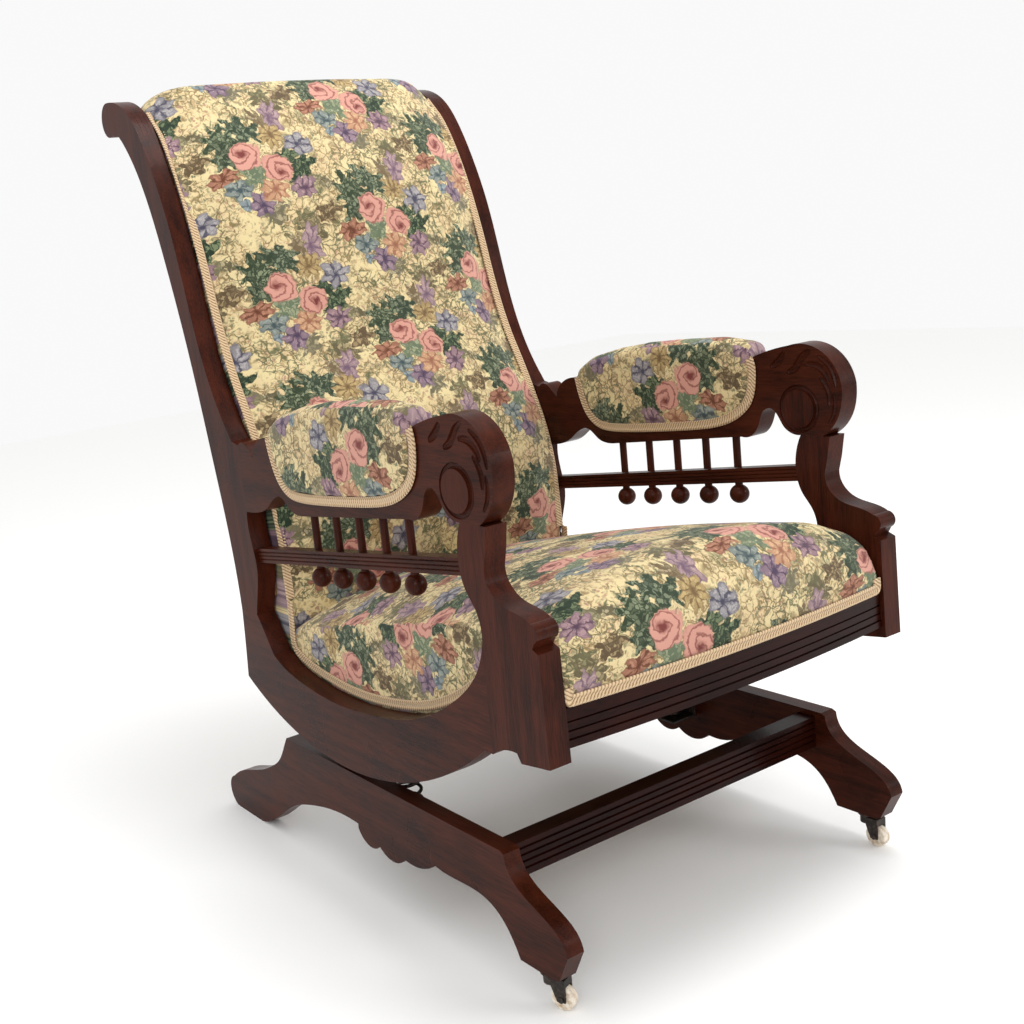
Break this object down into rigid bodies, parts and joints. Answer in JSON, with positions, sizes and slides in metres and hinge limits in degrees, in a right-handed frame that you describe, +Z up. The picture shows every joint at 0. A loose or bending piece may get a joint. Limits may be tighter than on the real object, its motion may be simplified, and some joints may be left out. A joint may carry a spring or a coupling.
{
  "type": "platform rocking chair",
  "caption": "Upholstered platform rocker: a carved wooden armchair body with a high rolled back rocks on a sledge base, held by coil springs; front casters.",
  "frame": {"origin": "on the floor, under the middle of the whole chair", "axes": "+Z up, the sitter faces -Y, the sitter's right hand is at -X"},
  "size_m": [0.583, 0.9434, 1.1058],
  "materials": {
    "walnut_stained_wood": "satin polish",
    "frame_wood": "unfinished",
    "tapestry": "woven floral tapestry",
    "gimp_braid": "woven braid",
    "jute_webbing": "coarse weave",
    "spring_steel": "japanned",
    "black_iron": "japanned",
    "porcelain": "glazed"
  },
  "bodies": {
    "base": {"base_side_left": "walnut_stained_wood", "base_side_right": "walnut_stained_wood", "base_front_stretcher": "walnut_stained_wood", "base_rear_stretcher": "walnut_stained_wood", "base_brackets": "black_iron", "base_bracket_screws": "black_iron", "caster_socket_left": "black_iron", "caster_socket_right": "black_iron", "rocker_springs_left": "spring_steel", "rocker_springs_right": "spring_steel"},
    "chair": {"arm_bosses_left": "walnut_stained_wood", "arm_bosses_right": "walnut_stained_wood", "arm_gimp_left": "gimp_braid", "arm_gimp_right": "gimp_braid", "arm_left": "walnut_stained_wood", "arm_pad_left": "tapestry", "arm_pad_right": "tapestry", "arm_right": "walnut_stained_wood", "back_bottom_rail": "frame_wood", "back_gimp_left": "gimp_braid", "back_gimp_right": "gimp_braid", "back_stile_left": "walnut_stained_wood", "back_stile_right": "walnut_stained_wood", "back_top_rail": "frame_wood", "back_upholstery": "tapestry", "corner_blocks": "frame_wood", "front_post_left": "walnut_stained_wood", "front_post_right": "walnut_stained_wood", "front_seat_rail": "walnut_stained_wood", "outside_back_panel": "tapestry", "rear_seat_rail": "frame_wood", "rocker_board_left": "walnut_stained_wood", "rocker_board_right": "walnut_stained_wood", "rocker_bracket_screws": "black_iron", "rocker_brackets": "black_iron", "seat_gimp_front": "gimp_braid", "seat_gimp_left": "gimp_braid", "seat_gimp_right": "gimp_braid", "seat_side_rail_left": "frame_wood", "seat_side_rail_right": "frame_wood", "seat_springs": "spring_steel", "seat_upholstery": "tapestry", "seat_webbing": "jute_webbing", "spindle_balls_left": "walnut_stained_wood", "spindle_balls_right": "walnut_stained_wood", "spindle_rail_left": "walnut_stained_wood", "spindle_rail_right": "walnut_stained_wood", "spindles_left": "walnut_stained_wood", "spindles_right": "walnut_stained_wood"},
    "caster_left": {"caster_horn_left": "black_iron", "caster_axle_left": "black_iron"},
    "wheel_left": {"caster_wheel_left": "porcelain"},
    "caster_right": {"caster_horn_right": "black_iron", "caster_axle_right": "black_iron"},
    "wheel_right": {"caster_wheel_right": "porcelain"}
  },
  "joints": [
    {"name": "rock", "type": "hinge", "parent": "base", "child": "chair", "pos_m": [0, -0.0308, 0.167], "axis": [1, 0, 0], "range_deg": [-8, 7], "stiffness_Nm_per_rad": 210, "springref_deg": 4.51, "deforming": ["rocker_springs_left", "rocker_springs_right"]},
    {"name": "caster_left_swivel", "type": "hinge", "parent": "base", "child": "caster_left", "pos_m": [0.2705, -0.4128, 0.04], "axis": [0, 0, 1], "continuous": true},
    {"name": "caster_left_roll", "type": "hinge", "parent": "caster_left", "child": "wheel_left", "pos_m": [0.2705, -0.4268, 0.014], "axis": [1, 0, 0], "continuous": true},
    {"name": "caster_right_swivel", "type": "hinge", "parent": "base", "child": "caster_right", "pos_m": [-0.2705, -0.4128, 0.04], "axis": [0, 0, 1], "continuous": true},
    {"name": "caster_right_roll", "type": "hinge", "parent": "caster_right", "child": "wheel_right", "pos_m": [-0.26548, -0.42587, 0.014], "axis": [0.9336, 0.3584, 0], "continuous": true}
  ]
}
